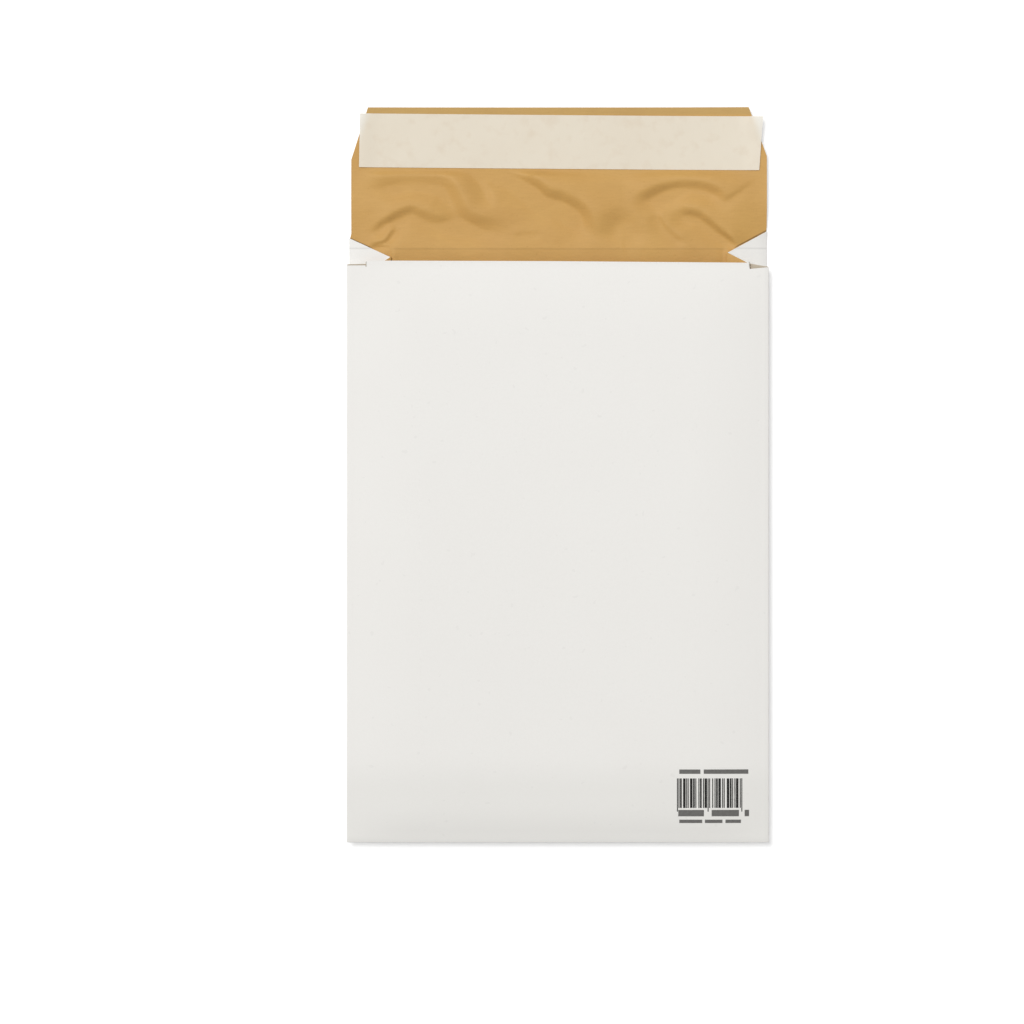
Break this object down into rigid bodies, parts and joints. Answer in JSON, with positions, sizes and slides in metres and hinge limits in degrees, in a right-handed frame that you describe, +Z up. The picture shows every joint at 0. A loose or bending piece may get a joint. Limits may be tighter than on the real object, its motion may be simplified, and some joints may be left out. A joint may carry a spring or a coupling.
{
  "type": "padded gusset envelope",
  "caption": "White padded pocket envelope with V-folded gussets, kraft lining, open flap and peel-and-seal strip, lying flat.",
  "frame": {"origin": "on the floor, under the centre of the open envelope's outline", "axes": "+Z up, out of the back panel; +Y along the pocket towards the open flap; +X to the right across the pocket"},
  "size_m": [0.2504, 0.4364, 0.0105],
  "materials": {
    "white_paper": "matte",
    "kraft_paper": "matte",
    "pad_fibre": "matte",
    "seal_gum": "gloss",
    "glassine": "satin"
  },
  "bodies": {
    "root": {"outer_sheet": "white_paper", "kraft_lining": "kraft_paper", "front_padding": "pad_fibre", "back_padding": "pad_fibre", "seal_adhesive": "seal_gum", "release_liner": "glassine"}
  },
  "joints": []
}
